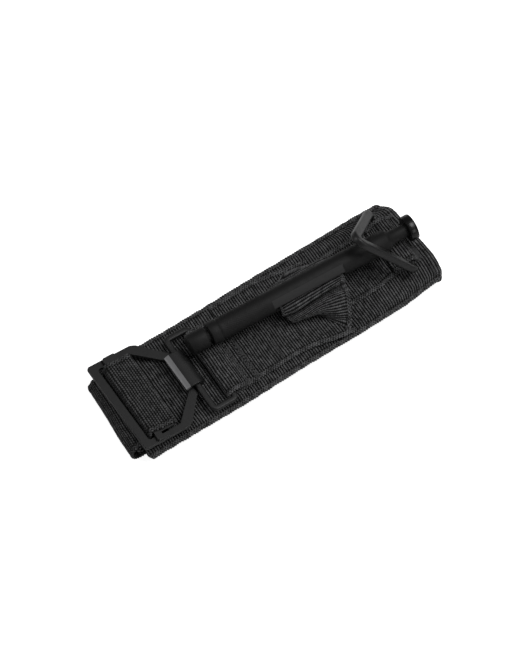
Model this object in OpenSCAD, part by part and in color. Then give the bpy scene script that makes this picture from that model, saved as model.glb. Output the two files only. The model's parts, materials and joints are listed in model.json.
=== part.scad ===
// Windlass tourniquet, folded flat: webbing pad and straps, a turned metal rod, a triangular
// holding ring, and a hook buckle with a sliding bar that hangs on a link ring.
// X runs along the package from the buckle to the triangular ring, Y across it, Z up.
// The origin is on the surface that it lies on, near the middle of the pad.

/* [Pad] */
// Length of the pad from its left end to the outside of its right-hand fold
pad_len = 146.9; // [120:0.1:190]
// Width of the pad's webbing
pad_w = 45.3; // [44:0.1:60]
// Thickness of the pad's webbing
pad_t = 2.2; // [1.6:0.1:3]
// Length of the flap folded under at the right end
flap_len = 22; // [12:1:40]

/* [Straps] */
// Width of the long strap
strap_w = 35.4; // [25:0.1:35.4]
// Thickness of the strap webbing
web_t = 1.3; // [1:0.05:1.6]
// Layers of strap folded up below the pad
fold_layers = 4; // [2:2:6]
// Width of the strap that holds the triangular ring
anchor_w = 24; // [20:0.2:24]
// How far the wrapped strap stands out beyond the pad's left end
wrap_out = 5; // [4.6:0.1:8]

/* [Buckle] */
// Width of the buckle frame
buckle_w = 43.4; // [43.4:0.1:60]
// Thickness of the frame's steel
steel_t = 1.6; // [1.2:0.1:2]
// Width of the bar at the frame's free end
bar_w = 3.6; // [3:0.1:6]
// Length of the straight side rails
rail_len = 21.4; // [21:0.1:28]
// Length of the slanted part, along X
slant_len = 11.1; // [9:0.1:16]
// Width of the slanted bars
slant_w = 4.6; // [3:0.1:6]
// Width of the hook
hook_w = 16.8; // [12:0.1:22]
// How far the neck stands out beyond the hook on each side
neck_out = 3; // [1:0.1:5]
// Length of the sliding bar's end tabs
tab_len = 6; // [5:0.1:8]
// Angle at which the buckle leans up at its free end
buckle_lean = 8; // [4:0.5:12]

/* [Link ring] */
// Width of the link ring, across the straps
link_w = 38.6; // [34:0.1:44]
// Length of the link ring, along the straps
link_len = 12.4; // [12:0.1:18]
// Diameter of the ring's wire
wire_d = 2.2; // [1.8:0.1:2.6]
// Radius of the ring's corners, at the middle of the wire
link_r = 1.6; // [1.4:0.1:4]

/* [Rod] */
// Length of the rod
rod_len = 106.4; // [100:0.2:108]
// Radius of the rod's body
rod_r = 4.75; // [4:0.05:5]
// Radius of the rod's left collar
collar_r = 5; // [4.2:0.05:5.2]
// Radius of the left knob
knob_r = 4.5; // [4:0.05:5]
// Radius of the right knob
end_r = 5.6; // [4.5:0.05:5.8]
// Radius of the neck at each end
neck_r = 3.4; // [2.8:0.1:3.6]
// Length of the slot through the rod
slot_len = 33; // [28:0.5:38]
// Height of the slot
slot_h = 3.2; // [2.8:0.1:4]

/* [Triangular ring] */
// Width of the ring over its rounded corners
tri_w = 34.2; // [32:0.2:40]
// Height of the ring from its hinge line to the tip
tri_h = 31; // [28:0.2:34]
// Width of the ring's flat bar
tri_bar = 4; // [3:0.1:4.5]
// Thickness of the ring's flat bar
tri_t = 3; // [2:0.1:3.4]
// Outer radius of the ring's corners
tri_r = 4.8; // [4.6:0.1:6]
// Radius of the round side that turns in the webbing
hinge_r = 1.4; // [1.2:0.05:1.45]
// Angle of the ring above the pad
tri_tilt = 51.5; // [46:0.5:58]

/* [Hidden] */
$fn = 64;
eps = 0.01;

// Gaps between pieces that lie on each other, and between those that move
lay_gap = 0.1;
body_gap = 0.35;

// Heights of the layers, from the bottom up
fold_pitch = web_t + lay_gap;
stack_top = fold_layers * fold_pitch + 0.2;
pad_z = stack_top + lay_gap;
pad_top = pad_z + pad_t;
lay1 = pad_top + lay_gap;
lay2 = lay1 + fold_pitch;
lay2_top = lay2 + web_t;

// Places along the package
pad_x0 = -70.4;
pad_x1 = pad_x0 + pad_len;
wrap_x = pad_x0 - wrap_out;

// Link ring: its right bar lies in the tab and its left bar in the buckle's hook
wire_r = wire_d / 2;
hook_gap = 0.25;
tab_gap = 0.15;
link_x1 = pad_x0 + 42.8;
link_z1 = lay1 + web_t + wire_r + tab_gap;
tab_top = link_z1 + wire_r + tab_gap + web_t;
hook_r = wire_r + hook_gap + steel_t;
pivot_x = link_x1 - (link_len - wire_d);
pivot_z = pad_top + 0.75 + hook_r;
link_lean = asin((pivot_z - link_z1) / (link_len - wire_d));
link_y = -1.6;
sewn_len = 13;

// Buckle, in its own frame with the hook's bar as its origin
buckle_x0 = -33.5;
buckle_y = 1;
rail_w = 3;
rail_x1 = buckle_x0 + rail_len;
neck_x = rail_x1 + slant_len;
plate_z = -hook_r;
plate_top = plate_z + steel_t;
in_y = buckle_w / 2 - rail_w;
hook_x0 = -5.5;
bar_in = buckle_x0 + bar_w;

// Sliding bar
slide_t = 1.4;
slide_z = plate_top + 0.2;
slide_x0 = bar_in + 3;
slide_x1 = slide_x0 + 9.4;
tab_x0 = bar_in + 2.9;
claw_len = 3.6;
claw_t = 0.5;
lip_t = 0.9;

// Triangular ring
tri_x = pad_x1 - 12.2;
tri_y = 2.6;
tunnel_r = hinge_r + 0.15;
tri_z = lay1 + web_t + lay_gap + tunnel_r;

// Rod: its place is its slot's middle
rod_x = tri_x - 42.8;
rod_y = 3.9;
rod_z = tab_top + collar_r + 0.8;
rod_yaw = -3.1;
rod_pitch = 0.5;
rod_x0 = -54.7;
knob_len = 8.4;
neck_len = 1.4;
collar_len = 4.4;
land_len = 33.4;
land_depth = 0.35;
land_turn = 45;
end_neck_len = 9;
end_len = 4.4;

// Webbing places
strap_y = buckle_y;
tension_y0 = -17.3;
tension_y1 = 20.7;
tension_x1 = rod_x - 17.5;
foot_x1 = rod_x + 7.5;
foot_y0 = -21.5;
anchor_x0 = rod_x + 11.5;
anchor_x1 = tri_x + 6;

// Turns a drawing in X and Z into a solid of width w centred on y
module across(y, w) {
    translate([0, y + w / 2, 0]) rotate([90, 0, 0]) linear_extrude(w) children();
}

// Part of a ring of middle radius r and thickness t, from angle a0 to a1, up to a half turn
module bend(r, t, a0, a1) {
    far = 3 * (r + t);
    mid = (a0 + a1) / 2;
    intersection() {
        difference() {
            circle(r + t / 2);
            if (r > t / 2) circle(r - t / 2);
        }
        polygon([[0, 0], far * [cos(a0), sin(a0)], far * [cos((a0 + mid) / 2), sin((a0 + mid) / 2)],
                 far * [cos(mid), sin(mid)], far * [cos((a1 + mid) / 2), sin((a1 + mid) / 2)],
                 far * [cos(a1), sin(a1)]]);
    }
}

// A flat stretch of webbing from x0 to x1 with its underside at z
module run(x0, x1, z, t = web_t) {
    translate([x0, z]) square([x1 - x0, t]);
}

// A half turn of webbing that opens to the right (side 1) or to the left (side -1)
module turn(x, z_low, z_high, t, side) {
    a0 = side > 0 ? 90 : -90;
    translate([x, (z_low + z_high) / 2]) bend((z_high - z_low) / 2, t, a0, a0 + 180);
}

module pad() {
    fold_r = pad_top / 2;
    color([0.13, 0.13, 0.13]) across(0, pad_w) union() {
        run(pad_x0, pad_x1 - fold_r, pad_z, pad_t);
        turn(pad_x1 - fold_r, pad_t / 2, pad_top - pad_t / 2, pad_t, -1);
        run(pad_x1 - fold_r - flap_len, pad_x1 - fold_r, 0, pad_t);
    }
}

// The leg of the long strap that goes round the pad's left end and is sewn below it
module load_strap() {
    z_low = pad_z - lay_gap - web_t;
    turn_x = pad_x0 - 0.05;
    color([0.11, 0.11, 0.11]) across(strap_y, strap_w) union() {
        run(turn_x, pad_x0 + 16, lay1);
        turn(turn_x, z_low + web_t / 2, lay1 + web_t / 2, web_t, 1);
        run(turn_x, pad_x0 + 60, z_low);
    }
}

// The outer leg, which goes round the left end to the bottom of the stack
module end_wrap() {
    wrap_r = (lay2_top - web_t) / 2;
    turn_x = wrap_x + wrap_r + web_t / 2;
    color([0.1, 0.1, 0.1]) across(strap_y, strap_w) union() {
        run(turn_x, turn_x + 1.2, lay2);
        turn(turn_x, web_t / 2, lay2 + web_t / 2, web_t, 1);
        run(turn_x, pad_x0 + 12, 0);
    }
}

// The rest of the long strap, folded to and fro below the pad
module tail_folds() {
    left = pad_x0 + 12 + body_gap;
    right = pad_x1 - pad_top / 2 - flap_len - 4;
    under = fold_layers - 1;
    color([0.12, 0.12, 0.12]) across(strap_y, strap_w) union() {
        for (i = [0 : under - 1])
            run(left, right, i * fold_pitch);
        for (i = [0 : under - 2])
            turn(i % 2 == 0 ? right : left, i * fold_pitch + web_t / 2, (i + 1) * fold_pitch + web_t / 2,
                 web_t, i % 2 == 0 ? -1 : 1);
    }
}

// The strap's end, folded over and sewn so that it can't slip through the buckle
module tail_end_stop() {
    x = pad_x0 + 60 + 2;
    z = (fold_layers - 1) * fold_pitch;
    color([0.15, 0.15, 0.15]) across(strap_y, strap_w - 2) run(x, x + 14, z);
}

// Places children drawn in the buckle's own frame
module at_buckle() {
    translate([pivot_x, buckle_y, pivot_z]) rotate([0, buckle_lean, 0]) children();
}

// The strap where it comes up between the frame's bar and the sliding bar
module bar_strap() {
    low = plate_z - web_t - body_gap;
    rise = 1;
    up = low + web_t / 2 + rise;
    x = bar_in + 0.6;
    color([0.11, 0.11, 0.11]) at_buckle() across(0, strap_w) union() {
        run(buckle_x0 + 2.2, x, low);
        translate([x, up]) bend(rise, web_t, -90, 0);
        translate([x + rise - web_t / 2, up - eps]) square([web_t, plate_top - up]);
    }
}

// The strap where it lies over the sliding bar
module slider_strap() {
    top = slide_z + slide_t + 0.15;
    left = slide_x0 - 0.25;
    right = slide_x1 + 0.25;
    corner = web_t / 2 + 0.2;
    color([0.14, 0.14, 0.14]) at_buckle() across(0, strap_w) union() {
        run(left + 0.2, right - 0.2, top);
        translate([left + 0.2, top - 0.2]) bend(corner, web_t, 90, 180);
        translate([right - 0.2, top - 0.2]) bend(corner, web_t, 0, 90);
        translate([left - web_t, slide_z]) square([web_t, top - 0.2 - slide_z + eps]);
        translate([right, slide_z]) square([web_t, top - 0.2 - slide_z + eps]);
    }
}

// The strap where it goes back to the left, in the frame's window below the sliding bar
module window_strap() {
    color([0.11, 0.11, 0.11]) at_buckle() across(0, strap_w)
        run(slide_x0 + 0.6, slide_x1 - 0.6, slide_z - 0.2 - web_t);
}

// The frame's outline with its window, seen from above
module frame_outline() {
    w = buckle_w / 2;
    neck = hook_w / 2 + neck_out;
    slant = [neck_x - rail_x1, neck - w];
    inward = slant_w * [slant[1], -slant[0]] / norm(slant);
    inner = [neck_x + inward[0], neck + inward[1]];
    corner = inner[0] + (in_y - inner[1]) * slant[0] / slant[1];
    difference() {
        polygon([[buckle_x0 + 1, -w], [rail_x1, -w], [neck_x, -neck], [0, -hook_w / 2],
                 [0, hook_w / 2], [neck_x, neck], [rail_x1, w], [buckle_x0 + 1, w],
                 [buckle_x0, w - 1], [buckle_x0, 1 - w]]);
        polygon([[bar_in, -in_y], [corner, -in_y], [inner[0], -inner[1]], inner, [corner, in_y], [bar_in, in_y]]);
    }
}

module buckle_frame() {
    color([0.16, 0.16, 0.16]) at_buckle() union() {
        translate([0, 0, plate_z]) linear_extrude(steel_t) frame_outline();
        across(0, hook_w) union() {
            bend(hook_r - steel_t / 2, steel_t, -90, 90);
            run(hook_x0, 0, hook_r - steel_t, steel_t);
        }
    }
}

// The loose bar that the strap goes over, with a claw round each side rail
module slider_bar() {
    web_y = in_y - 0.2;
    over_y = buckle_w / 2 - 0.3;
    color([0.18, 0.18, 0.18]) at_buckle() union() {
        translate([slide_x0, -web_y, slide_z]) cube([slide_x1 - slide_x0, 2 * web_y, slide_t]);
        for (side = [-1, 1]) {
            lip_y = side > 0 ? web_y - claw_t : -over_y;
            lip_w = over_y - web_y + claw_t;
            translate([tab_x0, lip_y, slide_z]) cube([tab_len, lip_w, slide_t]);
            translate([tab_x0, side > 0 ? web_y - claw_t : -web_y, plate_z - 0.2 - lip_t])
                cube([claw_len, claw_t, slide_z + eps - plate_z + 0.2 + lip_t]);
            translate([tab_x0, lip_y, plate_z - 0.2 - lip_t]) cube([claw_len, lip_w, lip_t]);
        }
    }
}

// A rectangle with round corners
module round_rect(w, h, r) {
    square([w - 2 * r, h], center = true);
    square([w, h - 2 * r], center = true);
    for (x = [-1, 1], y = [-1, 1])
        translate([x * (w / 2 - r), y * (h / 2 - r)]) circle(r);
}

// A rectangular ring of round wire, closed, with its right bar on the Y axis
module link_ring() {
    half = link_w / 2 - wire_r;
    depth = link_len - wire_d;
    color([0.14, 0.14, 0.14]) translate([link_x1, link_y, link_z1]) rotate([0, link_lean, 0]) {
        for (x = [-depth, 0])
            translate([x, half - link_r, 0]) rotate([90, 0, 0]) cylinder(r = wire_r, h = 2 * (half - link_r));
        for (y = [-half, half])
            translate([link_r - depth, y, 0]) rotate([0, 90, 0]) cylinder(r = wire_r, h = depth - 2 * link_r);
        for (corner = [0 : 3])
            translate([corner % 3 == 0 ? -link_r : link_r - depth, corner < 2 ? half - link_r : link_r - half, 0])
                rotate([0, 0, 90 * corner]) rotate_extrude(angle = 90) translate([link_r, 0]) circle(wire_r);
    }
}

// Webbing folded round the link ring's right bar and sewn down on itself
module link_tab() {
    w = link_w - wire_d - 2 * link_r - 0.6;
    slope_x = link_x1 + 2;
    slope = 7;
    color([0.13, 0.13, 0.13]) across(link_y, w) union() {
        translate([link_x1, link_z1]) bend(wire_r + tab_gap + web_t / 2, web_t, 90, 270);
        run(link_x1, link_x1 + sewn_len, lay1);
        run(link_x1, slope_x, tab_top - web_t);
        polygon([[slope_x, tab_top - web_t], [slope_x + slope, lay1 + web_t],
                 [link_x1 + sewn_len, lay1 + web_t], [link_x1 + sewn_len, lay1 + 2 * web_t],
                 [slope_x + slope, lay1 + 2 * web_t], [slope_x, tab_top]]);
    }
}

// The strap from the tab to the foot of the loop
module tension_strap() {
    x0 = link_x1 + sewn_len + lay_gap;
    color([0.13, 0.13, 0.13]) across((tension_y0 + tension_y1) / 2, tension_y1 - tension_y0)
        run(x0, tension_x1, lay1);
}

// The strap's foot where it turns up out of the strap, on the near side
module loop_foot_near() {
    color([0.13, 0.13, 0.13]) translate([0, 0, lay1]) linear_extrude(web_t)
        polygon([[tension_x1 + 0.1, tension_y0], [foot_x1, foot_y0], [foot_x1 + 3, -16], [foot_x1 + 3, 0],
                 [tension_x1 + 0.1, 0]]);
}

// The same foot on the far side
module loop_foot_far() {
    color([0.13, 0.13, 0.13]) translate([0, 0, lay1]) linear_extrude(web_t)
        polygon([[tension_x1 + 0.1, 0.1], [foot_x1 + 3, 0.1], [foot_x1 + 3, 12], [foot_x1 - 4, 19.5],
                 [tension_x1 + 0.1, tension_y1]]);
}

// Places children drawn in the rod's own frame, with the slot's middle as its origin
module at_rod() {
    translate([rod_x, rod_y, rod_z]) rotate([0, -rod_pitch, rod_yaw]) children();
}

module windlass_rod() {
    x1 = rod_x0 + rod_len;
    neck0 = rod_x0 + knob_len;
    collar0 = neck0 + neck_len;
    body0 = collar0 + collar_len;
    end0 = x1 - end_len;
    end_neck0 = end0 - end_neck_len;
    ease = 0.8;
    color([0.15, 0.15, 0.15]) at_rod() difference() {
        rotate([0, 90, 0]) rotate_extrude()
            polygon([[0, rod_x0], [knob_r - ease, rod_x0], [knob_r, rod_x0 + ease], [knob_r, neck0 - ease],
                     [knob_r - ease, neck0], [neck_r, neck0], [neck_r, collar0], [collar_r - 0.5, collar0],
                     [collar_r, collar0 + 0.5], [collar_r, body0], [rod_r, body0 + 0.4],
                     [rod_r, end_neck0], [neck_r + 0.3, end_neck0 + 1.2], [neck_r, end0],
                     [end_r - ease, end0], [end_r, end0 + ease], [end_r, x1 - ease],
                     [end_r - ease, x1], [0, x1]]);
        rotate([90, 0, 0]) linear_extrude(4 * rod_r, center = true) round_rect(slot_len, slot_h, slot_h / 2 - eps);
        for (side = [0, 180])
            rotate([land_turn + side, 0, 0]) translate([-land_len / 2, -rod_r, rod_r - land_depth])
                cube([land_len, 2 * rod_r, rod_r]);
    }
}

// The webbing that passes through the slot and comes down on both sides
module windlass_loop() {
    half = slot_len / 2 - 1.4;
    thick = slot_h - 0.8;
    side = rod_r + 0.4;
    near = side + 3.6;
    far = side + 3;
    drop = rod_z - lay2 - 1.7;
    color([0.14, 0.14, 0.14]) at_rod() translate([-half, 0, 0]) rotate([90, 0, 90])
        linear_extrude(2 * half)
            polygon([[-near - 3.4, -drop], [-near, -drop], [-side, -thick / 2], [side, -thick / 2],
                     [far, -drop], [far + 2.8, -drop], [side + 2.6, thick / 4], [side, thick / 2],
                     [-side, thick / 2], [-side - 2.8, thick / 4]]);
}

// The strap below the triangular ring, which passes under the rod
module anchor_strap() {
    color([0.13, 0.13, 0.13]) across(tri_y, anchor_w) run(anchor_x0, anchor_x1, lay1);
}

// The webbing loop that the ring's round side turns in
module ring_loop() {
    sheet_r = tunnel_r + web_t / 2;
    color([0.14, 0.14, 0.14]) across(tri_y, tri_w - 2 * tri_r - 1.2) difference() {
        union() {
            translate([tri_x, tri_z]) circle(tunnel_r + web_t);
            polygon([[tri_x - sheet_r - 4.4, lay2], [tri_x + sheet_r + 4.4, lay2],
                     [tri_x + sheet_r + 4.4, lay2 + web_t], [tri_x + 1.6, tri_z + tunnel_r + web_t - 0.6],
                     [tri_x - 1.6, tri_z + tunnel_r + web_t - 0.6], [tri_x - sheet_r - 4.4, lay2 + web_t]]);
        }
        translate([tri_x, tri_z]) circle(tunnel_r);
        translate([tri_x - tunnel_r, 0]) square([2 * tunnel_r, tri_z]);
        translate([tri_x - 2 * tri_r, 0]) square([4 * tri_r, lay2]);
    }
}

// A triangle with rounded corners: centres c of the corners, counter-clockwise, and radius r
module round_triangle(c, r) {
    steps = 9;
    function facing(a, b) = atan2(a[0] - b[0], b[1] - a[1]);
    polygon([for (i = [0 : 2])
        let (a0 = facing(c[(i + 2) % 3], c[i]), sweep = (facing(c[i], c[(i + 1) % 3]) - a0 + 360) % 360)
            for (k = [0 : steps]) let (a = a0 + sweep * k / steps) c[i] + r * [cos(a), sin(a)]]);
}

module tri_ring() {
    half = tri_w / 2 - tri_r;
    base = tri_r - tri_bar / 2;
    c = [[base, -half], [tri_h - tri_r, 0], [base, half]];
    flat_x = hinge_r + 1;
    color([0.2, 0.2, 0.2]) translate([tri_x, tri_y, tri_z]) rotate([0, tri_tilt - 180, 0]) union() {
        translate([0, 0, -tri_t / 2]) linear_extrude(tri_t) difference() {
            round_triangle(c, tri_r);
            round_triangle(c, tri_r - tri_bar);
            translate([-tri_bar, -half - eps]) square([tri_bar + flat_x, 2 * half + 2 * eps]);
        }
        translate([0, half + 0.5, 0]) rotate([90, 0, 0]) cylinder(r = hinge_r, h = 2 * half + 1);
    }
}

// Rows of close stitches lying on the webbing: count stitches of length l from y0 to y1
module tack_row(x, y0, y1, l, t) {
    pitch = 1.6;
    count = floor((y1 - y0) / pitch);
    for (i = [0 : count])
        translate([x, y0 + i * (y1 - y0) / count - 0.4, 0]) cube([l, 0.8, t]);
}

module tab_tacks() {
    color([0.08, 0.08, 0.08]) translate([0, 0, lay1 + 2 * web_t + 0.02])
        for (x = [link_x1 + 9.2, link_x1 + 11.4])
            tack_row(x, link_y - 15, link_y + 14, 1.4, 0.3);
}

module loop_tacks() {
    color([0.08, 0.08, 0.08]) translate([0, 0, lay1 + web_t + 0.02])
        tack_row(tension_x1 - 6, tension_y0 + 1.5, -6, 1.4, 0.3);
}

module anchor_tacks() {
    color([0.08, 0.08, 0.08]) translate([0, 0, lay1 + web_t + 0.02])
        for (x = [anchor_x0 + 2, anchor_x1 - 20])
            tack_row(x, tri_y - anchor_w / 2 + 1.5, tri_y + anchor_w / 2 - 1.5, 1.4, 0.3);
}

module end_tacks() {
    color([0.08, 0.08, 0.08]) translate([0, 0, pad_top + 0.02])
        tack_row(anchor_x1 + 1, -18, -13.5, 1.4, 0.3);
}

pad();
load_strap();
end_wrap();
tail_folds();
tail_end_stop();
bar_strap();
slider_strap();
window_strap();
buckle_frame();
slider_bar();
link_ring();
link_tab();
tension_strap();
windlass_rod();
windlass_loop();
loop_foot_near();
loop_foot_far();
anchor_strap();
ring_loop();
tri_ring();
tab_tacks();
loop_tacks();
anchor_tacks();
end_tacks();
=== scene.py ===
"""Windlass tourniquet, folded flat: the visible webbing, metal and thread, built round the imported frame."""

import json
import math

import bmesh
import bpy
import numpy as np
from bpy.props import FloatProperty, FloatVectorProperty, PointerProperty
from bpy.types import Operator, Panel, PropertyGroup
from mathutils import Matrix, Vector
from mathutils.geometry import tessellate_polygon


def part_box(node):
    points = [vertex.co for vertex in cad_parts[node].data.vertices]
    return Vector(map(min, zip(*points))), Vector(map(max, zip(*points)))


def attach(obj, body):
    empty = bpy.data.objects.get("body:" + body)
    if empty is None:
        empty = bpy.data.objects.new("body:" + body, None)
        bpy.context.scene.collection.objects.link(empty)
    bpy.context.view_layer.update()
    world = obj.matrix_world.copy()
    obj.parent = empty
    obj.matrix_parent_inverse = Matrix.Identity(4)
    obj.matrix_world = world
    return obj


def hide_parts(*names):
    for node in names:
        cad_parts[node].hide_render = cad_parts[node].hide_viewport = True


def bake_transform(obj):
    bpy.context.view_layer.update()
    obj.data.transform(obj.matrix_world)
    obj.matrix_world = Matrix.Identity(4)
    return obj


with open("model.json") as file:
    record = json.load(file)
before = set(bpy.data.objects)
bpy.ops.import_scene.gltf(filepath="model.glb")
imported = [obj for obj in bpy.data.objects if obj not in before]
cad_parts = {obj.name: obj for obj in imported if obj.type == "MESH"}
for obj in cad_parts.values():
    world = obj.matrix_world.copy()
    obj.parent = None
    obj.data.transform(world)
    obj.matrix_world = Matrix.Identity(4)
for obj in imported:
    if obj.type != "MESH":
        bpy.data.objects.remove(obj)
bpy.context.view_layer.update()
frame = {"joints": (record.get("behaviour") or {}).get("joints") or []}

bl_info = {
    "name": "Windlass tourniquet",
    "version": (1, 0, 0),
    "blender": (4, 5, 0),
    "location": "View3D > Sidebar > Tourniquet",
    "description": "Webbing, hardware and stitching of a folded windlass tourniquet",
    "category": "Add Mesh",
}

MM = 0.001
# Name of the attribute that carries the painted shade in the webbing's grooves and selvedge seam
WEAVE = "weave"
GROOVE_SHADE = "groove"
# Where along one rib the stations lie, from groove to groove
FINE_RIB = (0.0, 0.14, 0.32, 0.5, 0.68, 0.86)
PLAIN_RIB = (0.0, 0.2, 0.5, 0.8)

JOINTS = {joint["name"]: joint for joint in frame["joints"]}
BUCKLE_PIVOT = Vector(JOINTS["buckle_tilt"]["pos_m"])
RING_PIVOT = Vector(JOINTS["link_ring_tilt"]["pos_m"])
ROD_MIDDLE = Vector(JOINTS["windlass_turn"]["pos_m"])
HOLDER_PIVOT = Vector(JOINTS["holding_ring_swing"]["pos_m"])
SLIDE_AXIS = Vector(JOINTS["slider_slide"]["axis"])
BUCKLE_LEAN = math.atan2(-SLIDE_AXIS.z, SLIDE_AXIS.x)


def low(node):
    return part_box(node)[0]


def high(node):
    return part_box(node)[1]


def middle_y(node):
    return (low(node).y + high(node).y) / 2


def width_y(node):
    return high(node).y - low(node).y


# ---------------------------------------------------------------------------------------------
# Sizes and colours that a user would change
# ---------------------------------------------------------------------------------------------


def length(name, description, default):
    return FloatProperty(name=name, description=description, default=default, unit="LENGTH", precision=5)


def angle(name, description, default):
    return FloatProperty(name=name, description=description, default=math.radians(default), unit="ROTATION")


def number(name, description, default):
    return FloatProperty(name=name, description=description, default=default)


def colour(name, description, grey):
    return FloatVectorProperty(name=name, description=description, default=(grey, grey, grey * 1.02),
                               subtype="COLOR", size=3, min=0, max=1)


class WebbingSizes(PropertyGroup):
    strap: length("Strap thickness", "Thickness of the strap webbing", 1.3 * MM)
    pad: length("Pad thickness", "Thickness of the pad webbing", 2.2 * MM)
    loop: length("Loop thickness", "Thickness of the webbing that passes through the rod", 1.1 * MM)
    pad_rib: length("Pad rib pitch", "Distance between the pad's crosswise ribs", 1.15 * MM)
    strap_rib: length("Strap rib pitch", "Distance between the straps' crosswise ribs", 1.1 * MM)
    rib_depth: length("Rib depth", "Depth of the grooves between ribs", 0.52 * MM)
    selvedge: length("Selvedge", "Width of the tight band along each edge", 2.0 * MM)
    yarn: length("Yarn pitch", "Distance between neighbouring yarns across the webbing", 0.9 * MM)
    stitch: length("Stitch radius", "Radius of the sewing thread", 0.16 * MM)


class HardwareSizes(PropertyGroup):
    steel: length("Steel", "Thickness of the buckle's steel", 1.6 * MM)
    left: length("Left end", "Place of the buckle's free end, from the hook's bar", -33.9 * MM)
    rail: length("Rail", "Width of the buckle's side rails", 3.0 * MM)
    bar: length("Bar", "Width of the bar at the buckle's free end", 3.6 * MM)
    rail_len: length("Rail length", "Length of the straight side rails", 21.8 * MM)
    slant_len: length("Slant length", "Length of the slanted part, along X", 11.1 * MM)
    slant_w: length("Slant width", "Width of the slanted bars", 4.6 * MM)
    neck_out: length("Neck", "How far the neck stands out beyond the hook on each side", 3.0 * MM)
    hook_w: length("Hook width", "Width of the hook", 16.8 * MM)
    hook_r: length("Hook radius", "Outer radius of the hook's bend", 2.95 * MM)
    hook_tip: length("Hook tip", "How far the hook's top reaches past the ring's bar", 5.5 * MM)
    hook_lip: length("Hook lip", "Length of the bare lip at the hook's tip", 1.9 * MM)
    edge: length("Edge", "Width of the rounding along the edges of the steel", 0.22 * MM)
    wire_w: length("Link ring width", "Width of the link ring's bar, in its plane", 2.5 * MM)
    wire_t: length("Link ring thickness", "Thickness of the link ring's bar", 1.9 * MM)
    holder_w: length("Holding ring width", "Width of the triangular ring's flat bar", 4.0 * MM)
    holder_t: length("Holding ring thickness", "Thickness of the triangular ring's flat bar", 3.3 * MM)
    holder_h: length("Holding ring height", "Height of the triangular ring from its hinge line", 31.0 * MM)
    holder_r: length("Holding ring corner", "Outer radius of the triangular ring's corners", 4.8 * MM)
    hinge_r: length("Hinge radius", "Radius of the triangular ring's round side", 1.4 * MM)
    holder_tilt: angle("Holding ring tilt", "Angle of the triangular ring above the pad", 51.5)


class RodSizes(PropertyGroup):
    start: length("Left end", "Place of the rod's left end, from the middle of its slot", -54.7 * MM)
    length: length("Length", "Length of the rod", 106.4 * MM)
    radius: length("Radius", "Radius of the rod's body", 4.75 * MM)
    collar: length("Collar", "Radius of the left collar", 5.0 * MM)
    knob: length("Left knob", "Radius of the left knob", 4.5 * MM)
    end: length("Right knob", "Radius of the right knob", 5.6 * MM)
    neck: length("Neck", "Radius of the neck at each end", 2.8 * MM)
    slot_len: length("Slot length", "Length of the slot", 33.0 * MM)
    slot_h: length("Slot height", "Height of the slot", 3.2 * MM)
    knurl: length("Knurl pitch", "Distance between the knurl's diamonds along the rod", 1.15 * MM)
    knurl_depth: length("Knurl depth", "Depth of the knurl's grooves", 0.14 * MM)
    yaw: angle("Yaw", "Turn of the rod about Z", -3.1)
    pitch: angle("Pitch", "Rise of the rod towards its right end", 0.5)


class Finishes(PropertyGroup):
    pad: colour("Pad webbing", "Colour of the pad's ribs", 0.05)
    strap: colour("Strap webbing", "Colour of the long strap's ribs", 0.034)
    thread: colour("Thread", "Colour of the sewing thread", 0.04)
    steel: colour("Black steel", "Coating of the buckle and the link ring", 0.011)
    worn: colour("Rubbed steel", "Coating of the triangular ring", 0.013)
    bare: colour("Bare steel", "Metal that shows where the coating is gone", 0.2)
    rod: colour("Rod", "Anodised colour of the rod", 0.003)
    gloss: colour("Right knob", "Glossy end of the rod", 0.004)


class StageSettings(PropertyGroup):
    azimuth: angle("Azimuth", "Direction that the camera looks from", -33.5)
    elevation: angle("Elevation", "Height of the camera above the horizon", 64.9)
    view: length("View height", "Height of the view at the object", 266.0 * MM)
    lens: number("Lens", "Focal length in millimetres", 200.0)
    aim: FloatVectorProperty(name="Aim", description="Point in the middle of the view",
                             default=(1.4 * MM, 4.7 * MM, 2.2 * MM), subtype="XYZ", size=3)
    key: number("Key light", "Power of the main light in watts", 5.6)
    fill: number("Fill light", "Power of the fill light in watts", 1.2)
    glint: number("Glint light", "Power of the light that the bare edges reflect, in watts", 1.8)
    sky: number("Sky", "Strength of the light from all round", 0.12)


# ---------------------------------------------------------------------------------------------
# Finishes
# ---------------------------------------------------------------------------------------------


def node_value(tree, kind, *inputs, **settings):
    """Adds a node, links or sets its inputs in order, and returns its first output."""
    node = tree.nodes.new(kind)
    for key, value in settings.items():
        setattr(node, key, value)
    for socket, value in zip(node.inputs, inputs):
        if isinstance(value, bpy.types.NodeSocket):
            tree.links.new(value, socket)
        elif value is not None:
            socket.default_value = value
    return node.outputs[0]


def calc(tree, operation, *inputs):
    return node_value(tree, "ShaderNodeMath", *inputs, operation=operation)


def spread(tree, value, low_in, high_in, low_out, high_out):
    """Maps a value from one range to another, held at both ends."""
    return node_value(tree, "ShaderNodeMapRange", value, low_in, high_in, low_out, high_out)


def noise(tree, place, scale, detail, roughness):
    return node_value(tree, "ShaderNodeTexNoise", place, None, scale, detail, roughness)


def blended(tree, share, first, second):
    """A colour between first and second."""
    node = tree.nodes.new("ShaderNodeMix")
    node.data_type = "RGBA"
    for index, value in ((0, share), (6, first), (7, second)):
        if isinstance(value, bpy.types.NodeSocket):
            tree.links.new(value, node.inputs[index])
        else:
            node.inputs[index].default_value = value
    return node.outputs[2]


def rgba(grey, gain=1.0):
    return tuple(min(1.0, channel * gain) for channel in grey) + (1.0,)


def blank_finish(name, **sockets):
    """A material whose constant values are set on its shader."""
    material = bpy.data.materials.new(name)
    material.use_nodes = True
    tree = material.node_tree
    shader = tree.nodes["Principled BSDF"]
    for socket, value in sockets.items():
        shader.inputs[socket.replace("_", " ")].default_value = value
    return material, tree, shader


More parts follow.
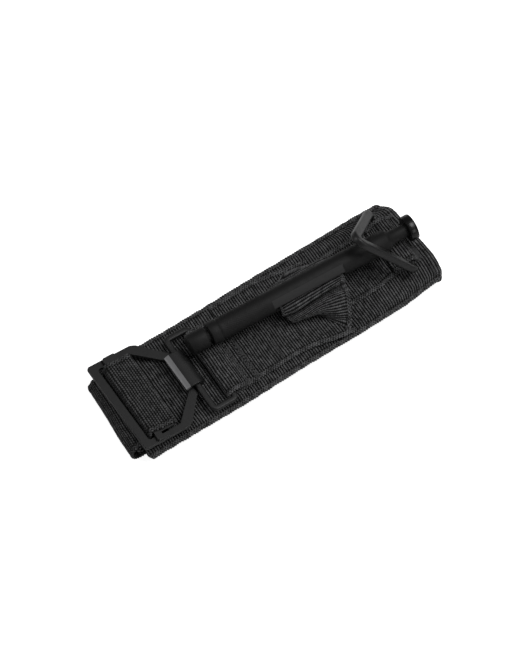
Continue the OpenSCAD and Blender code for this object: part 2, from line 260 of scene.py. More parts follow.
def bump_from(tree, shader, height, distance, strength):
    node = tree.nodes.new("ShaderNodeBump")
    node.inputs["Strength"].default_value = strength
    node.inputs["Distance"].default_value = distance
    tree.links.new(height, node.inputs["Height"])
    tree.links.new(node.outputs["Normal"], shader.inputs["Normal"])


def woven_finish(name, grey, rib, yarn, crest_highlight):
    """Nylon webbing: yarns along the webbing over its ribs, a painted highlight on each yarn's crest, and
    painted shade that darkens the grooves.
    """
    material, tree, shader = blank_finish(name, Specular_IOR_Level=0.18,
                                          Sheen_Weight=0.03, Sheen_Roughness=0.5)
    uv = node_value(tree, "ShaderNodeUVMap", uv_map=WEAVE)
    parts = tree.nodes.new("ShaderNodeSeparateXYZ")
    tree.links.new(uv, parts.inputs[0])
    along, across = parts.outputs[0], parts.outputs[1]
    row = calc(tree, "FLOOR", calc(tree, "DIVIDE", along, rib))
    shift = calc(tree, "MULTIPLY", calc(tree, "MODULO", row, 2.0), 0.5)
    turn = calc(tree, "ADD", calc(tree, "DIVIDE", across, yarn), shift)
    yarns = calc(tree, "SINE", calc(tree, "MULTIPLY", turn, 2 * math.pi))
    fibres = noise(tree, uv, 2600.0, 3.0, 0.65)
    patches = noise(tree, uv, 420.0, 4.0, 0.7)
    # Painted shade: the groove attribute darkens the colour in the grooves between ribs and along the
    # selvedge seam
    groove = node_value(tree, "ShaderNodeAttribute", attribute_name=GROOVE_SHADE)
    groove = groove.node.outputs["Fac"]
    # Painted highlight: the yarn wave that raises the bump also lightens each yarn's crest; fibres and
    # patches are random tone, and the grooves get painted shade
    painted_light_and_tone = calc(tree, "ADD", calc(tree, "MULTIPLY", yarns, 0.16 * crest_highlight), fibres)
    painted_light_and_tone = calc(tree, "ADD", painted_light_and_tone, calc(tree, "MULTIPLY", calc(tree, "SUBTRACT", patches, 0.5), 1.5))
    painted_light_and_tone = calc(tree, "SUBTRACT", painted_light_and_tone, calc(tree, "MULTIPLY", groove, 1.1))
    share = spread(tree, painted_light_and_tone, 0.0, 0.75, 0.0, 1.0)
    tree.links.new(blended(tree, share, rgba(grey, 0.02), rgba(grey, 2.8)), shader.inputs["Base Color"])
    tree.links.new(spread(tree, fibres, 0.3, 0.7, 0.62, 0.86), shader.inputs["Roughness"])
    height = calc(tree, "ADD", calc(tree, "MULTIPLY", yarns, 0.6), calc(tree, "MULTIPLY", fibres, 0.9))
    bump_from(tree, shader, height, 0.12 * MM, 0.75)
    return material


def thread_finish(name, grey):
    """Bonded sewing thread with a fine twist, its ridges lighter as a painted highlight."""
    material, tree, shader = blank_finish(name, Specular_IOR_Level=0.4, Sheen_Weight=0.1)
    place = node_value(tree, "ShaderNodeTexCoord").node.outputs["Object"]
    twist = node_value(tree, "ShaderNodeTexWave", place, 2400.0, 1.5, 2.0, bands_direction="DIAGONAL")
    twist = twist.node.outputs["Fac"]
    # Painted highlight: the twist wave that raises the bump also lightens the colour on its ridges
    tree.links.new(blended(tree, twist, rgba(grey, 0.5), rgba(grey, 1.5)), shader.inputs["Base Color"])
    tree.links.new(spread(tree, twist, 0, 1, 0.55, 0.7), shader.inputs["Roughness"])
    bump_from(tree, shader, twist, 0.08 * MM, 0.5)
    return material


def coated_finish(name, grey, bare, wear, smooth, metallic=0.0):
    """Black coating on steel: orange peel, faint rubbing, and bare metal where wear is high."""
    material, tree, shader = blank_finish(name, Metallic=metallic, Specular_IOR_Level=0.3)
    place = node_value(tree, "ShaderNodeTexCoord").node.outputs["Object"]
    peel = noise(tree, place, 2200.0, 3.0, 0.6)
    rubbing = noise(tree, place, 260.0, 5.0, 0.7)
    streaks = node_value(tree, "ShaderNodeMapping", place, None, None, (60.0, 900.0, 900.0))
    scratches = noise(tree, streaks, 1.0, 4.0, 0.75)
    worn = spread(tree, calc(tree, "ADD", rubbing, calc(tree, "MULTIPLY", scratches, 0.35)),
                  0.95 - 0.6 * wear, 1.12 - 0.6 * wear, 0.0, min(1.0, 0.12 + wear))
    body = blended(tree, rubbing, rgba(grey, 0.72), rgba(grey, 1.35))
    tree.links.new(blended(tree, worn, body, rgba(bare)), shader.inputs["Base Color"])
    tree.links.new(spread(tree, calc(tree, "ADD", peel, rubbing), 0.6, 1.4, smooth - 0.08, smooth + 0.12),
                   shader.inputs["Roughness"])
    bump_from(tree, shader, calc(tree, "ADD", peel, calc(tree, "MULTIPLY", scratches, 0.4)), 0.03 * MM, 0.5)
    return material


FINISHES = {}


def make_finishes(context):
    sizes, greys = context.scene.webbing_sizes, context.scene.finishes
    bare = greys.bare
    FINISHES["pad"] = woven_finish("pad_webbing", greys.pad, sizes.pad_rib, sizes.yarn, 0.8)
    FINISHES["strap"] = woven_finish("strap_webbing", greys.strap, sizes.strap_rib, sizes.yarn * 1.2, 1.5)
    FINISHES["thread"] = thread_finish("thread", greys.thread)
    FINISHES["steel"] = coated_finish("black_steel", greys.steel, bare, 0.0, 0.46)
    FINISHES["steel_edge"] = coated_finish("black_steel_edge", greys.steel, bare, 0.22, 0.4)
    FINISHES["bare"] = coated_finish("bare_steel", greys.bare, bare, 0.5, 0.5, 0.7)
    FINISHES["worn"] = coated_finish("worn_steel", greys.worn, bare, 0.06, 0.34)
    FINISHES["worn_edge"] = coated_finish("worn_steel_edge", greys.worn, bare, 0.3, 0.3)
    FINISHES["rod"] = coated_finish("black_aluminium", greys.rod, bare, 0.0, 0.62)
    # The machined flats are six times the rod's colour: partly their own lighter finish, partly a painted
    # highlight
    FINISHES["flat"] = coated_finish("machined_flat_with_painted_highlight", [grey * 6 for grey in greys.rod], bare, 0.0, 0.5)
    FINISHES["gloss"] = coated_finish("glossy_black", greys.gloss, bare, 0.0, 0.26)


# ---------------------------------------------------------------------------------------------
# Meshes
# ---------------------------------------------------------------------------------------------


def new_piece(name, vertices, faces, finishes):
    mesh = bpy.data.meshes.new(name)
    mesh.from_pydata([tuple(v) for v in vertices], [], faces)
    for finish in finishes:
        mesh.materials.append(FINISHES[finish])
    mesh.polygons.foreach_set("use_smooth", [True] * len(mesh.polygons))
    mesh.validate()
    mesh.update()
    piece = bpy.data.objects.new(name, mesh)
    bpy.context.scene.collection.objects.link(piece)
    return piece


def settle(piece, body, slot, *nodes):
    """Puts a finished piece on its body when body is one name, else keeps its place baked into its mesh, and
    hides the nodes it stands for.
    """
    if isinstance(body, str):
        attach(piece, body)
    else:
        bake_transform(piece)
    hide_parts(*nodes)


def rounded(corners, steps=14):
    """A line in X and Z through corners (x, z, r), each rounded with radius r."""
    line = []
    last = len(corners) - 1
    for index, (x, z, r) in enumerate(corners):
        here = Vector((x, z))
        if index in (0, last) or r == 0:
            line.append(here)
            continue
        back = (Vector(corners[index - 1][:2]) - here).normalized()
        ahead = (Vector(corners[index + 1][:2]) - here).normalized()
        half = math.acos(max(-1.0, min(1.0, back.dot(ahead)))) / 2
        centre = here + (back + ahead).normalized() * (r / math.sin(half))
        reach = r / math.tan(half)
        first, final = here + back * reach - centre, here + ahead * reach - centre
        for step in range(steps + 1):
            share = step / steps
            spoke = first.slerp(final, share) if first.cross(final) else first
            line.append(centre + spoke.normalized() * r)
    return np.array([tuple(p) for p in line])


def flat_strap(corners, y):
    """The surface of a strap that follows a line in X and Z, centred on y, and its length."""
    line = rounded(corners)
    run = np.concatenate([[0], np.cumsum(np.linalg.norm(np.diff(line, axis=0), axis=1))])

    def surface(s, w):
        x = np.interp(s, run, line[:, 0]) + 0 * w
        z = np.interp(s, run, line[:, 1]) + 0 * w
        return np.stack([x, y + w + 0 * s, z], axis=2)

    return surface, run[-1]


def spline(points, places):
    """Catmull-Rom curve through points (along the first axis) at places from 0 to 1."""
    count = len(points) - 1
    padded = np.concatenate([2 * points[:1] - points[1:2], points, 2 * points[-1:] - points[-2:-1]])
    at = np.clip(places * count, 0, count - 1e-6)
    k = at.astype(int)
    t = (at - k).reshape((-1,) + (1,) * (points.ndim - 1))
    a, b, c, d = (padded[k + i] for i in range(4))
    square, cube = 2 * a - 5 * b + 4 * c - d, 3 * b - a - 3 * c + d
    return 0.5 * (2 * b + (c - a) * t + square * t ** 2 + cube * t ** 3)


def ripple(places, seed, spacing):
    """Smooth random values from -1 to 1 along places, one knot every spacing."""
    knots = np.random.default_rng(seed).uniform(-1, 1, 4 + int(np.ptp(places) / spacing))
    return spline(knots, (places - places.min()) / max(np.ptp(places), 1e-9))


def across_places(width, selvedge, spacing=1.4 * MM):
    """Places across a webbing, close together at its edges."""
    rim = np.array([0, 0.12, 0.35, 0.7, 1.1, 1.6, 1.9]) * MM
    rim = np.append(rim, [selvedge + 0.2 * MM, selvedge + 0.5 * MM])
    inner = np.linspace(rim[-1], width - rim[-1], max(3, round((width - 2 * rim[-1]) / spacing)))
    return np.concatenate([rim[:-1], inner, (width - rim[:-1])[::-1]]) - width / 2


def woven(name, shape, width, thick, pitch, finish, seed, stations=FINE_RIB, shift=None):
    """A closed webbing: crosswise ribs on both faces, tight selvedges, and slightly uneven yarns.
    shape is a surface and its length, and shift moves its points."""
    surface, run = shape
    sizes = bpy.context.scene.webbing_sizes
    ribs = round(run / pitch)
    phase = np.append(np.tile(stations, ribs), 0.0)
    s = np.append((np.arange(ribs)[:, None] + np.array(stations)).ravel(), ribs) * run / ribs
    w = across_places(width, sizes.selvedge)
    rng = np.random.default_rng(seed)
    wander = ripple(w, seed + 1, 5 * MM)[None, :] * 0.12 * pitch
    wander = wander * np.sin(np.clip(s / run, 0, 1) * math.pi)[:, None] ** 0.3
    points = surface(np.clip(s[:, None] + wander, 0, run), w[None, :])
    if shift:
        points = shift(points)
    edge = np.minimum(w + width / 2, width / 2 - w)
    sideways = np.gradient(points, axis=1)
    sideways /= np.maximum(np.linalg.norm(sideways, axis=2, keepdims=True), 1e-12)
    teeth = (np.abs(np.sin(math.pi * phase)) - 0.5) * 0.3 * MM + ripple(s, seed + 2, 2.1 * MM) * 0.14 * MM
    fray = np.sign(w) * np.clip(1 - edge / (0.6 * MM), 0, 1) * teeth[:, None]
    points = points + sideways * fray[:, :, None]
    normals = np.cross(np.gradient(points, axis=0), np.gradient(points, axis=1))
    normals /= np.maximum(np.linalg.norm(normals, axis=2, keepdims=True), 1e-12)
    weft = np.where(edge < sizes.selvedge, np.floor(edge / (0.65 * MM)) % 2 * 0.5, 0.0)
    groove = 1 - np.abs(np.sin(math.pi * (phase[:, None] + weft))) ** 0.9
    tight = np.clip((edge - sizes.selvedge * 0.75) / (0.5 * MM), 0, 1)
    seam = np.exp(-((edge - sizes.selvedge) / (0.25 * MM)) ** 2)
    rib_no = (s / run * ribs + 1e-6).astype(int)
    uneven = rng.uniform(0, 0.22, (ribs + 2, len(w)))[rib_no] * rib_depth_share(phase)[:, None]
    dip = sizes.rib_depth * (groove * (0.6 + 0.4 * tight) + uneven * tight + 0.3 * seam)
    round_off = np.sqrt(np.clip(1 - (1 - np.clip(edge / (0.55 * MM), 0.05, 1)) ** 2, 0, 1))
    half = (thick / 2 - dip) * round_off
    ends = np.clip(np.minimum(s, run - s) / (0.5 * MM), 0.45, 1)
    half = half * ends[:, None]
    over, under = points + normals * half[:, :, None], points - normals * half[:, :, None]
    rings = np.concatenate([over, under[:, ::-1]], axis=1)
    rows, columns = rings.shape[:2]
    i, j = np.meshgrid(np.arange(rows - 1), np.arange(columns), indexing="ij")
    here, after, ahead = i * columns, (i + 1) * columns, (j + 1) % columns
    sides = np.stack([here + j, after + j, after + ahead, here + ahead], 2)
    k = np.arange(len(w) - 1)
    cap = np.stack([k, k + 1, columns - 2 - k, columns - 1 - k], 1)
    faces = np.concatenate([sides.reshape(-1, 4), cap, cap[:, ::-1] + (rows - 1) * columns])
    piece = new_piece(name, rings.reshape(-1, 3), faces.tolist(), [finish])
    mesh = piece.data
    places = np.stack([np.broadcast_to(s[:, None], (rows, columns)),
                       np.broadcast_to(np.concatenate([w, w[::-1]])[None, :], (rows, columns))], 2)
    corners = np.zeros(len(mesh.loops), np.int32)
    mesh.loops.foreach_get("vertex_index", corners)
    places = places.reshape(-1, 2)[corners].astype(np.float32)
    mesh.uv_layers.new(name=WEAVE).uv.foreach_set("vector", places.ravel())
    # Painted shade: how dark the finish makes the grooves and the selvedge seam, kept in the groove attribute
    depth = groove * (0.6 + 0.4 * tight) + 0.3 * seam
    depth = np.clip(np.concatenate([depth, depth[:, ::-1]], 1), 0, 1).astype(np.float32)
    mesh.attributes.new(GROOVE_SHADE, "FLOAT", "POINT").data.foreach_set("value", depth.ravel())
    return piece


def rib_depth_share(phase):
    """How much a rib's crest moves with its yarns: nothing in the groove and all of it on top."""
    return np.abs(np.sin(math.pi * phase))


def ring_faces(rows, columns, closed):
    """Quads between the rings of a sweep, with flat ends where it isn't closed."""
    count = rows if closed else rows - 1
    faces = []
    for i in range(count):
        a, b = i * columns, (i + 1) % rows * columns
        faces += [[a + j, a + (j + 1) % columns, b + (j + 1) % columns, b + j] for j in range(columns)]
    if not closed:
        faces += [list(range(columns))[::-1], list(range((rows - 1) * columns, rows * columns))]
    return faces


def face_outwards(piece):
    edit = bmesh.new()
    edit.from_mesh(piece.data)
    bmesh.ops.remove_doubles(edit, verts=edit.verts, dist=1e-7)
    bmesh.ops.recalc_face_normals(edit, faces=edit.faces)
    edit.to_mesh(piece.data)
    edit.free()


def keep_modifiers(piece):
    """Makes the piece's modifiers part of its mesh."""
    graph = bpy.context.evaluated_depsgraph_get()
    shaped = bpy.data.meshes.new_from_object(piece.evaluated_get(graph))
    old = piece.data
    piece.modifiers.clear()
    piece.data = shaped
    bpy.data.meshes.remove(old)
    shaped.name = piece.name


def join(name, pieces):
    """One piece made of several, which are removed."""
    whole = bmesh.new()
    for piece in pieces:
        whole.from_mesh(piece.data)
    mesh = bpy.data.meshes.new(name)
    whole.to_mesh(mesh)
    whole.free()
    for material in pieces[0].data.materials:
        mesh.materials.append(material)
    for piece in pieces:
        bpy.data.objects.remove(piece)
    joined = bpy.data.objects.new(name, mesh)
    bpy.context.scene.collection.objects.link(joined)
    return joined


def soften_edges(piece, width, segments=3, limit=35):
    """Rounds the sharp edges, and gives the rounding the piece's second finish."""
    bevel = piece.modifiers.new("edges", "BEVEL")
    bevel.width = width
    bevel.segments = segments
    bevel.limit_method = "ANGLE"
    bevel.angle_limit = math.radians(limit)
    bevel.material = 1
    bevel.harden_normals = True
    keep_modifiers(piece)


def rounded_section(width, thick, r, steps=4):
    """A rectangle with round corners, as points round the origin."""
    points = []
    for quarter in range(4):
        cx = (1 if quarter in (0, 3) else -1) * (width / 2 - r)
        cz = (1 if quarter < 2 else -1) * (thick / 2 - r)
        for step in range(steps + 1):
            turn = math.radians(90) * (quarter + step / steps)
            points.append((cx + r * math.cos(turn), cz + r * math.sin(turn)))
    return np.array(points)


def round_corner_loop(centres, r, steps=8):
    """Points and outward directions round a closed outline with round corners, counter-clockwise."""
    loop = []
    count = len(centres)
    for index in range(count):
        before, here, after = (Vector(centres[(index + k) % count]) for k in (-1, 0, 1))
        facing = [math.atan2(-(b - a).x, (b - a).y) for a, b in ((before, here), (here, after))]
        sweep = (facing[1] - facing[0]) % math.tau
        for step in range(steps + 1):
            turn = facing[0] + sweep * step / steps
            out = Vector((math.cos(turn), math.sin(turn)))
            loop.append((here + out * r, out))
    return loop


def fill_in(loop, gap):
    """Adds points on the straight stretches of a loop, so that none is longer than gap."""
    full = []
    for index, (place, out) in enumerate(loop):
        after, out_after = loop[(index + 1) % len(loop)]
        parts = max(1, math.ceil((after - place).length / gap))
        for share in (k / parts for k in range(parts)):
            full.append((place.lerp(after, share), out.lerp(out_after, share).normalized()))
    return full


def sweep_loop(name, loop, section_at, placing, finishes):
    """A closed bar round a loop in a plane: section_at gives the bar's section at each place."""
    vertices = []
    for place, out in loop:
        for a, b in section_at(place):
            spot = place + out * a
            vertices.append(placing @ Vector((spot.x, spot.y, b)))
    columns = len(section_at(loop[0][0]))
    piece = new_piece(name, vertices, ring_faces(len(loop), columns, True), finishes)
    face_outwards(piece)
    return piece


def bent_sheet(name, outline, window, steel, edge, placing, finishes, bend=()):
    """Sheet steel: a flat outline with a window, and a strip that goes on from the outline's
    last edge through the lines of bend."""
    flat = [Vector((x, y, 0)) for x, y in outline]
    hole = [Vector((x, y, 0)) for x, y in window]
    points = flat + hole
    rings = [flat] + ([hole] if hole else [])
    faces = [list(f) for f in tessellate_polygon(rings)]
    first, last = 0, len(flat) - 1
    for a, b in bend:
        points += [Vector(a), Vector(b)]
        faces.append([first, last, len(points) - 1, len(points) - 2])
        first, last = len(points) - 2, len(points) - 1
    piece = new_piece(name, points, faces, finishes)
    face_outwards(piece)
    solid = piece.modifiers.new("steel", "SOLIDIFY")
    solid.thickness = steel
    solid.offset = 0
    solid.use_even_offset = True
    keep_modifiers(piece)
    face_outwards(piece)
    soften_edges(piece, edge)
    piece.data.transform(placing)
    return piece


def capsule(start, end, r, sides=6):
    """The vertices and faces of one stitch, which rises in its middle."""
    start, end = Vector(start), Vector(end)
    along = (end - start).normalized()
    beside = along.cross(Vector((0, 0, 1))).normalized()
    above = beside.cross(along)
    vertices, rings = [], ((0, 0.3), (0.12, 0.8), (0.35, 1), (0.65, 1), (0.88, 0.8), (1, 0.3))
    for share, size in rings:
        centre = start.lerp(end, share) + above * (r * (size - 0.6))
        for k in range(sides):
            turn = math.tau * k / sides
            vertices.append(centre + (beside * math.cos(turn) + above * math.sin(turn)) * r * size)
    return vertices, ring_faces(len(rings), sides, False)


def sewn(name, stitches, r):
    """Many stitches in one piece, each from a start to an end."""
    vertices, faces = [], []
    for start, end in stitches:
        stitch, sides = capsule(start, end, r)
        faces += [[k + len(vertices) for k in face] for face in sides]
        vertices += stitch
    return new_piece(name, vertices, faces, ["thread"])


def row_of_stitches(start, end, pitch, slant):
    """Zigzag stitches side by side from start to end: each reaches slant to the right."""
    start, end = Vector(start), Vector(end)
    count = int((end - start).length / pitch)
    stitches = []
    for k in range(count):
        a = start.lerp(end, k / count)
        b = start.lerp(end, (k + 0.55) / count) + Vector((slant, 0, 0))
        stitches.append((a, b))
    return stitches


# ---------------------------------------------------------------------------------------------
# Pieces
# ---------------------------------------------------------------------------------------------


def ease(value):
    value = np.clip(value, 0, 1)
    return value * value * (3 - 2 * value)


# How far the pad's right end stands out, or back, at places across the pad, in millimetres
PAD_END_Y = np.array([-23.0, -21.0, -19.0, -14.5, -10.0, -4.0, 2.5, 10.0, 17.0, 19.0, 21.0, 23.0])
PAD_END_X = np.array([-3.4, -1.5, -0.3, 0.6, 0.9, 0.7, 0.1, -0.6, -1.0, -2.0, -4.6, -5.6])


class TOURNIQUET_OT_pad(Operator):
    """Ribbed base webbing, folded under at its right end"""
    bl_idname = "tourniquet.pad"
    bl_label = "Pad"

    def execute(self, context):
        sizes = context.scene.webbing_sizes
        lo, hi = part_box("pad")
        half = sizes.pad / 2
        fold_r = (hi.z - lo.z) / 2 - half
        right = hi.x - half
        flap = low("pad").x + (hi.x - lo.x) - (hi.z / 2 + 22 * MM)
        corners = [(lo.x, hi.z - half, 0), (right, hi.z - half, fold_r), (right, half, fold_r),
                   (flap, half, 0)]

        def curl(points):
            """Draws the near edge in towards the fold and shapes the outline of the right end."""
            x, y, z = points[:, :, 0], points[:, :, 1], points[:, :, 2]
            y0 = y.copy()
            near = ease((-y0 - 4 * MM) / (18 * MM))
            under = ease((6.5 * MM - z) / (4 * MM)) * ease((x - 43 * MM) / (5 * MM))
            wave = np.sin(x / (23 * MM)) * 0.35 + np.sin(x / (9.1 * MM) + 1.2) * 0.2
            points[:, :, 1] += near * (ease((x - 52 * MM) / (24 * MM)) * 2.0 + under * 4.4) * MM
            points[:, :, 1] += wave * 0.55 * MM * np.abs(y0 / (22 * MM)) ** 3
            end = np.interp(y0, PAD_END_Y * MM, PAD_END_X * MM)
            points[:, :, 0] += end * ease((x - 28 * MM) / (47 * MM))
            corner = ease((np.abs(y0) - 20.4 * MM) / (2.2 * MM)) * ease((lo.x + 3 * MM - x) / (3 * MM))
            points[:, :, 0] += corner * 1.1 * MM
            return points

        pad = woven("pad_webbing_base", flat_strap(corners, middle_y("pad")), width_y("pad"), sizes.pad,
                    sizes.pad_rib, "pad", 11, shift=curl)
        settle(pad, "root", "pad_webbing", "pad")
        return {"FINISHED"}


class TOURNIQUET_OT_tail(Operator):
    """The long strap's tail, folded to and fro below the pad, with its sewn end stop"""
    bl_idname = "tourniquet.tail"
    bl_label = "Folded tail"

    def execute(self, context):
        sizes = context.scene.webbing_sizes
        lo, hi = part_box("tail_folds")
        half = sizes.strap / 2
        turn_r = (hi.z - lo.z - sizes.strap) / 4
        left, right = lo.x + half, hi.x - half
        z = [lo.z + half + 2 * turn_r * k for k in range(3)]
        corners = [(left + turn_r, z[0], 0), (right, z[0], turn_r), (right, z[1], turn_r),
                   (left, z[1], turn_r), (left, z[2], turn_r), (right - 2 * MM, z[2], 0)]
        tail = woven("tail_folded", flat_strap(corners, middle_y("tail_folds")), width_y("tail_folds"),
                     sizes.strap, sizes.strap_rib * 1.2, "strap", 21, stations=PLAIN_RIB)
        settle(tail, "root", "strap_webbing", "tail_folds")
        lo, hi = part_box("tail_end_stop")
        corners = [(lo.x, (lo.z + hi.z) / 2, 0), (hi.x, (lo.z + hi.z) / 2, 0)]
        stop = woven("tail_end_stop_webbing", flat_strap(corners, middle_y("tail_end_stop")),
                     width_y("tail_end_stop"), sizes.strap, sizes.strap_rib, "strap", 23)
        settle(stop, "root", "strap_webbing", "tail_end_stop")
        return {"FINISHED"}


def at_buckle():
    """Places what is drawn in the buckle's own frame, whose origin is the hook's bar."""
    place = Vector((BUCKLE_PIVOT.x, middle_y("buckle_frame"), BUCKLE_PIVOT.z))
    return Matrix.Translation(place) @ Matrix.Rotation(BUCKLE_LEAN, 4, "Y")


def beside_buckle(x, z, r=0.0):
    """A corner (x, z, r) of a strap's line, given in the buckle's own frame."""
    place = at_buckle() @ Vector((x, 0, z))
    return place.x, place.z, r


class TOURNIQUET_OT_long_strap(Operator):
    """The long strap round the package's left end, through the buckle and over its sliding bar"""
    bl_idname = "tourniquet.long_strap"
    bl_label = "Long strap"

    def execute(self, context):
        sizes, metal = context.scene.webbing_sizes, context.scene.hardware_sizes
        half, rib = sizes.strap / 2, sizes.strap_rib
        y, width = middle_y("end_wrap"), width_y("end_wrap")
        lo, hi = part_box("load_strap")
        turn_r = (hi.z - lo.z) / 2 - half
        corners = [(lo.x + 18.5 * MM, hi.z - half, 0), (lo.x + half, hi.z - half, turn_r),
                   (lo.x + half, lo.z + half, turn_r), (hi.x, lo.z + half, 0)]
        leg = woven("load_strap_leg", flat_strap(corners, y), width, sizes.strap, rib, "strap", 31)
        settle(leg, "root", "strap_webbing", "load_strap")

        lo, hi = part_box("end_wrap")
        left = lo.x + half
        under_bar = -metal.hook_r - 0.35 * MM - half
        bar_in = metal.left + metal.bar
        seam = (left + 1.2 * MM, 9.3 * MM, 0)
        corners = [(hi.x, half, 0), (left, half, 4.4 * MM), (left, 7.5 * MM, 1.8 * MM), seam]
        wrap = woven("end_wrap_strap", flat_strap(corners, y), width, sizes.strap, rib, "strap", 33,
                     shift=lambda p: sway(p, 0.5 * MM))
        settle(wrap, ("root", "link", (left, 0, 2 * MM), (left, 0, 8 * MM)), "strap_webbing", "end_wrap")

        rise_x = bar_in + 1.6 * MM
        corners = [seam, beside_buckle(metal.left - 0.6 * MM, under_bar - 0.6 * MM, 4 * MM),
                   beside_buckle(rise_x, under_bar, 0.9 * MM), beside_buckle(rise_x, -2.2 * MM)]
        bar = woven("bar_strap_run", flat_strap(corners, y), width, sizes.strap, rib, "strap", 35,
                    shift=lambda p: sway(p, 0.5 * MM * (p[:, :, 0:1] < -70 * MM)))
        start, end = Vector((left, 0, seam[1])), Vector(beside_buckle(metal.left + 2 * MM, under_bar)[:2])
        settle(bar, ("link", "buckle", start, (end.x, 0, end.y)), "strap_webbing", "bar_strap")

        top, right = 1.05 * MM, bar_in + 13.3 * MM
        corners = [beside_buckle(rise_x, -2.3 * MM), beside_buckle(rise_x + 0.3 * MM, top, 1.0 * MM),
                   beside_buckle(right, top, 0.9 * MM), beside_buckle(right, -2.0 * MM, 0.7 * MM),
                   beside_buckle(bar_in + 4.6 * MM, -2.0 * MM)]
        first = at_buckle() @ Vector((rise_x, 0, 0))

        def slant(points):
            """Turns the strap slightly on the sliding bar, as it's pulled askew over it."""
            share = np.clip((points[:, :, 0] - first.x) / (13 * MM), 0, 1)
            rise = ease((points[:, :, 2] - first.z) / (1.2 * MM))
            points[:, :, 0] += share * rise * (points[:, :, 1] - y) * 0.035
            points[:, :, 1] += rise * (0.9 - 2.0 * share) * MM
            return points

        over = woven("slider_strap_run", flat_strap(corners, y), width, sizes.strap, rib, "strap", 37,
                     shift=slant)
        low_end, high_end = (at_buckle() @ Vector((-20 * MM, 0, z)) for z in (-2.2 * MM, 0.4 * MM))
        settle(over, ("buckle", "slider", low_end, high_end), "strap_webbing", "slider_strap", "window_strap")
        return {"FINISHED"}


def sway(points, size):
    """Draws a strap in towards its far edge, with a slow sideways wave."""
    y = points[:, :, 1:2]
    points[:, :, 0:1] += size * (np.sin(y / (6.5 * MM) + 0.8) * 0.4 + np.clip(y / (9 * MM), -0.6, 2.0))
    return points


class TOURNIQUET_OT_buckle(Operator):
    """Sheet steel frame with a window, and the hook that hangs on the link ring"""
    bl_idname = "tourniquet.buckle"
    bl_label = "Buckle frame"

    def execute(self, context):
        metal = context.scene.hardware_sizes
        x0 = metal.left
        w = width_y("buckle_frame") / 2
        hook = metal.hook_w / 2
        neck = hook + metal.neck_out
        rail_x = x0 + metal.rail_len
        neck_x = rail_x + metal.slant_len
        slant = Vector((neck_x - rail_x, neck - w))
        inward = metal.slant_w * Vector((slant.y, -slant.x)).normalized()
        inner = Vector((neck_x, neck)) + inward
        bar_in, in_y, cut = x0 + metal.bar, w - metal.rail, 1.1 * MM
        corner = inner.x + (in_y - inner.y) * slant.x / slant.y
        near = [(0, -hook), (neck_x, -neck + 0.3 * cut), (neck_x - cut, -neck + 0.1 * cut),
                (rail_x + cut, -w + cut * 0.9), (rail_x - cut, -w), (x0 + cut, -w),
                (x0 + cut * 0.3, -w + cut * 0.3), (x0, -w + cut)]
        outline = near + [(x, -y) for x, y in near[::-1]]
        side = [(bar_in, -in_y + cut * 0.6), (bar_in + cut * 0.6, -in_y), (corner, -in_y),
                (inner.x, -inner.y)]
        window = side + [(x, -y) for x, y in side[::-1]]
        plate_z = metal.steel / 2 - metal.hook_r
        bend_r = -plate_z
        steps = 16
        bend = []
        for step in range(1, steps + 1):
            turn = math.pi * step / steps
            x, z = bend_r * math.sin(turn), bend_r * (1 - math.cos(turn))
            bend.append(((x, -hook, z), (x, hook, z)))
        for x, drop in ((metal.hook_lip - metal.hook_tip, 0), (-metal.hook_tip, 0.62 * metal.hook_lip)):
            bend.append(((x, -hook, 2 * bend_r - drop), (x, hook, 2 * bend_r - drop)))
        placing = at_buckle() @ Matrix.Translation((0, 0, plate_z))
        buckle = bent_sheet("buckle_frame_steel", outline, window, metal.steel, metal.edge, placing,
                            ["steel", "steel_edge", "bare"], bend)
        home = at_buckle().inverted()
        skew = 0.02
        for vertex in buckle.data.vertices:
            free = float(ease((home @ vertex.co).x / (metal.left + metal.rail_len)))
            vertex.co.x -= free * (vertex.co.y - middle_y("buckle_frame")) * skew
        for face in buckle.data.polygons:
            spot = home @ face.center
            if spot.x < metal.hook_lip - metal.hook_tip and spot.z > 0:
                face.material_index = 2
        settle(buckle, "buckle", "black_steel", "buckle_frame")
        return {"FINISHED"}


class TOURNIQUET_OT_slider(Operator):
    """Loose bar that the strap goes over, with an end tab and a claw on each side rail"""
    bl_idname = "tourniquet.slider"
    bl_label = "Sliding bar"

    def execute(self, context):
        metal = context.scene.hardware_sizes
        steel, claw, claw_edge = 1.4 * MM, 0.5 * MM, 0.12 * MM
        looks = ["steel", "steel_edge"]
        z0 = metal.steel - metal.hook_r + 0.2 * MM
        x0 = metal.left + metal.bar + 3 * MM
        x1 = x0 + 9.4 * MM
        tab0 = x0 - 0.1 * MM
        tab1 = tab0 + 6 * MM
        inner = width_y("buckle_frame") / 2 - metal.rail - 0.2 * MM
        outer = width_y("buckle_frame") / 2 - 0.3 * MM
        lip_len = 3.6 * MM
        cut = 0.6 * MM
        near = [(x1, -inner), (tab1, -inner - 0.05 * MM), (tab1, -outer + cut), (tab1 - cut, -outer),
                (tab0 + cut, -outer), (tab0, -outer + cut), (tab0, -inner - 0.05 * MM), (x0, -inner)]
        outline = near + [(x, -y) for x, y in near[::-1]]
        placing = at_buckle() @ Matrix.Translation((0, 0, z0 + steel / 2))
        pieces = [bent_sheet("slider_plate", outline, [], steel, metal.edge, placing, looks)]
        low_z = -metal.hook_r - 0.2 * MM - 0.45 * MM
        under = at_buckle() @ Matrix.Translation((0, 0, low_z))
        for side in (-1, 1):
            lip = [(tab0, side * (inner - claw / 2)), (tab0 + lip_len, side * (inner - claw / 2)),
                   (tab0 + lip_len, side * outer), (tab0, side * outer)]
            lip = lip[::side]
            pieces.append(bent_sheet("slider_lip", lip, [], 0.9 * MM, claw_edge, under, looks))
            wall = [(tab0, 0), (tab0 + lip_len, 0), (tab0 + lip_len, z0 - low_z), (tab0, z0 - low_z)]
            upright = under @ Matrix.Translation((0, side * (inner - claw / 2), 0)) \
                @ Matrix.Rotation(math.radians(90), 4, "X")
            pieces.append(bent_sheet("slider_claw", wall, [], claw, claw_edge, upright, looks))
        slider = join("sliding_bar_steel", pieces)
        settle(slider, "slider", "black_steel", "slider_bar")
        return {"FINISHED"}


